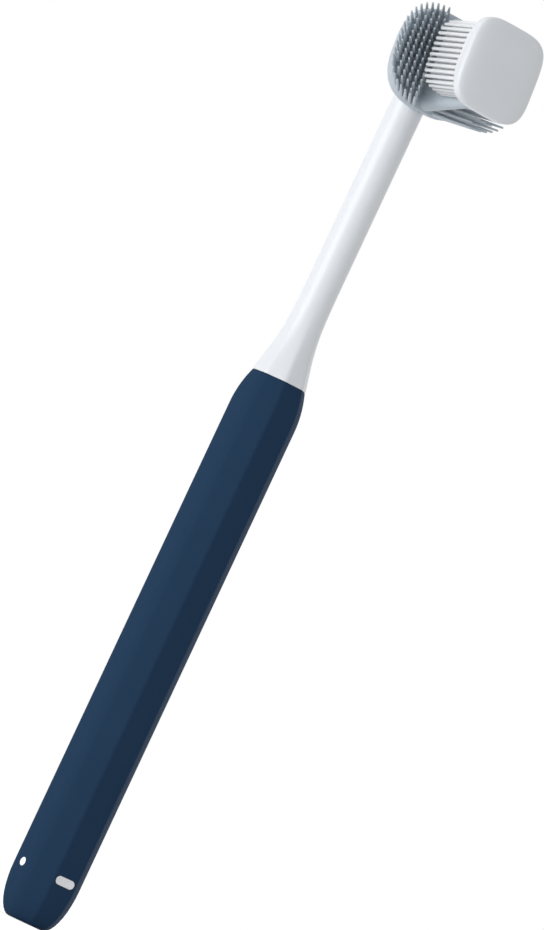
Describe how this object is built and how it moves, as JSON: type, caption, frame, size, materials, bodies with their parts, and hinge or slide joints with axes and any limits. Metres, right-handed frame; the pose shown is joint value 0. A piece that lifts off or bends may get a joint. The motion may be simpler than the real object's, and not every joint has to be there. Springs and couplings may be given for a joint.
{
  "type": "electric toothbrush",
  "caption": "Slim electric toothbrush with a faceted handle and a pull-off head, whose soft spikes and bristles face each other across open tooth channels.",
  "frame": {"origin": "centre of the flat face at the base end of the handle", "axes": "+Z from the base end along the handle to the brush head; +X from the handle's axis through the power button's facet, which is also the way from the head's wall to its outer paddle; the status light faces -Y"},
  "size_m": [0.0392, 0.04, 0.2432],
  "materials": {
    "navy_plastic": "smooth satin dark navy plastic",
    "white_plastic": "smooth white plastic with a soft shine",
    "grey_rubber": "smooth light blue-grey soft elastomer",
    "spike_rubber": "darker grey soft elastomer spikes",
    "white_bristle": "white soft bristles",
    "light_lens": "milky white translucent plastic",
    "black_rubber": "plain black silicone",
    "grey_plastic": "plain moulded grey plastic",
    "board_green": "green solder mask",
    "chip_black": "black moulded package",
    "bright_steel": "bare steel",
    "nickel": "nickel-plated metal",
    "copper": "enamelled copper winding",
    "ferrite": "sintered dark grey ferrite",
    "cell_wrap": "metal can in a blue shrink sleeve"
  },
  "bodies": {
    "handle": {"handle_shell": "navy_plastic", "status_light_lens": "light_lens", "status_light": "light_lens", "switch_body": "bright_steel", "button_seal": "black_rubber", "ferrite_core": "ferrite", "charging_coil": "copper", "chassis": "grey_plastic", "circuit_board": "board_green", "board_screw_1": "bright_steel", "board_screw_2": "bright_steel", "control_chip": "chip_black", "charge_chip": "chip_black", "battery_cell": "cell_wrap", "battery_tab_minus": "nickel", "battery_tab_plus": "nickel", "motor_can": "bright_steel", "motor_end_cap": "white_plastic", "motor_sleeve": "black_rubber", "coupling_post": "white_plastic", "handle_seal_ring": "black_rubber", "post_grip_ring": "black_rubber"},
    "brush_head": {"neck_and_frame": "white_plastic", "soft_overmould": "grey_rubber", "gum_spikes_front": "spike_rubber", "gum_spikes_rear": "spike_rubber", "cheek_bristles_front": "white_bristle", "cheek_bristles_rear": "white_bristle"},
    "power_button": {"power_button": "white_plastic", "switch_plunger": "chip_black"},
    "rotor": {"motor_shaft": "bright_steel", "eccentric_weight": "nickel"}
  },
  "joints": [
    {"name": "brush_head_pull", "type": "slide", "parent": "handle", "child": "brush_head", "axis": [0, 0, 1], "range_m": [0, 0.03]},
    {"name": "power_button_press", "type": "slide", "parent": "handle", "child": "power_button", "axis": [-1, 0, 0], "range_m": [0, 0.0004], "stiffness_N_per_m": 800, "springref_m": -0.001},
    {"name": "rotor_spin", "type": "hinge", "parent": "handle", "child": "rotor", "pos_m": [0, 0, 0.11615], "axis": [0, 0, 1], "continuous": true}
  ]
}
